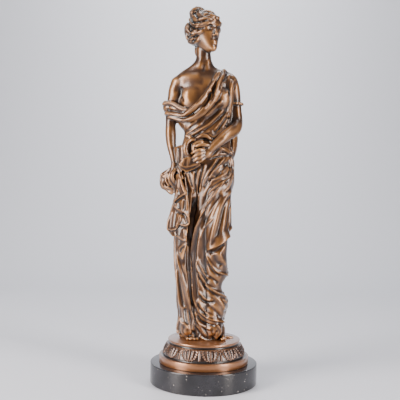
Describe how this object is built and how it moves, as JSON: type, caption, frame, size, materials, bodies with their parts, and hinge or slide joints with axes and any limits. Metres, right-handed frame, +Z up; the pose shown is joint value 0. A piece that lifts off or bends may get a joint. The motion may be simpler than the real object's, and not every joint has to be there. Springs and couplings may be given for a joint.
{
  "type": "figurine",
  "caption": "Standing draped woman, a cast bronze statuette on a round socle with a band of leaves and a dark marble disc.",
  "frame": {"origin": "centre of the marble plinth's underside", "axes": "+Z up along the figure, -Y to the front that the body faces, +X to the viewer's right"},
  "size_m": [0.16, 0.16, 0.5672],
  "materials": {
    "marble": "polished",
    "socle_bronze": "satin, coppery brown patina",
    "figure_bronze": "satin, brown patina with rubbed crests"
  },
  "bodies": {
    "root": {"marble_plinth": "marble", "bronze_socle": "socle_bronze", "draped_figure": "figure_bronze"}
  },
  "joints": []
}
